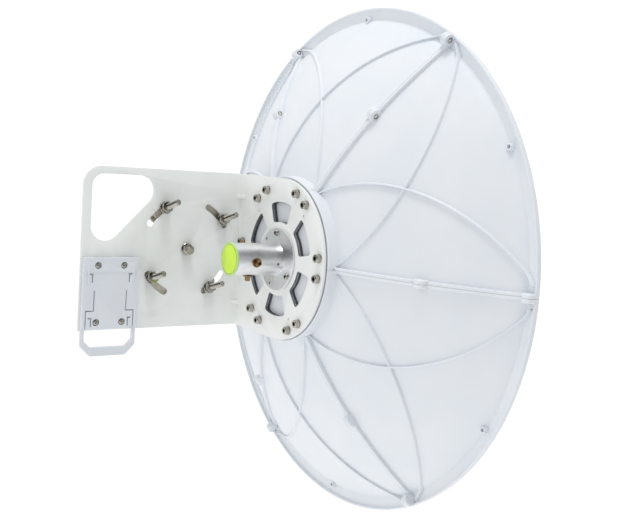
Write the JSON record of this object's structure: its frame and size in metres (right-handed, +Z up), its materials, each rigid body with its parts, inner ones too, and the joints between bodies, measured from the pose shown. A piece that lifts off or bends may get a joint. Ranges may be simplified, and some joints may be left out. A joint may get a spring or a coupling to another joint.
{
  "type": "sectional dish antenna with mast bracket",
  "caption": "Round parabolic dish of moulded petals on a bent sheet bracket that tilts on a mast saddle, with a central feed and a clip for a radio.",
  "frame": {"origin": "on the mast saddle's pad, where the elevation pivot's axis crosses it", "axes": "+Z up along the mast, +X from the side plate towards the mast, the beam points to -Y and 9.3 degrees up"},
  "size_m": [0.6506, 0.4986, 0.6424],
  "materials": {
    "petal_plastic": "moulded bluish white",
    "bracket_coat": "fine powder coat, warm light grey",
    "stainless_steel": "bright stainless, duller on the clamps",
    "satin_aluminium": "satin, turned",
    "lime_cap": "lime green, slightly clear at the rim",
    "brass_screw": "dull",
    "feed_plastic": "natural white",
    "clip_plastic": "moulded white with a lilac tint"
  },
  "bodies": {
    "mast_bracket": {"pole_saddle": "stainless_steel", "pivot_nut": "stainless_steel", "outer_clamp_upper": "stainless_steel", "outer_clamp_lower": "stainless_steel", "clamp_bolt_1": "stainless_steel", "clamp_bolt_2": "stainless_steel", "clamp_bolt_3": "stainless_steel", "clamp_bolt_4": "stainless_steel"},
    "antenna_head": {"bracket_plate": "bracket_coat", "clip_screw_1": "stainless_steel", "clip_screw_2": "stainless_steel", "clip_screw_3": "stainless_steel", "clip_screw_4": "stainless_steel", "feed_boom": "satin_aluminium", "feed_cap": "lime_cap", "feed_cone": "feed_plastic", "feed_tube": "satin_aluminium", "hub_bolt_01": "stainless_steel", "hub_bolt_02": "stainless_steel", "hub_bolt_03": "stainless_steel", "hub_bolt_04": "stainless_steel", "hub_bolt_05": "stainless_steel", "hub_bolt_06": "stainless_steel", "hub_bolt_07": "stainless_steel", "hub_bolt_08": "stainless_steel", "hub_bolt_09": "stainless_steel", "hub_bolt_10": "stainless_steel", "hub_bolt_11": "stainless_steel", "hub_bolt_12": "stainless_steel", "petal_1": "petal_plastic", "petal_2": "petal_plastic", "petal_3": "petal_plastic", "petal_4": "petal_plastic", "petal_5": "petal_plastic", "petal_6": "petal_plastic", "radio_clip": "clip_plastic", "sub_reflector": "satin_aluminium", "tube_screw_1": "brass_screw", "tube_screw_2": "brass_screw", "tube_screw_3": "brass_screw"}
  },
  "joints": [
    {"name": "elevation", "type": "hinge", "parent": "mast_bracket", "child": "antenna_head", "pos_m": [0, 0, 0], "axis": [-1, 0, 0], "range_deg": [-23.3, 4.7]}
  ]
}
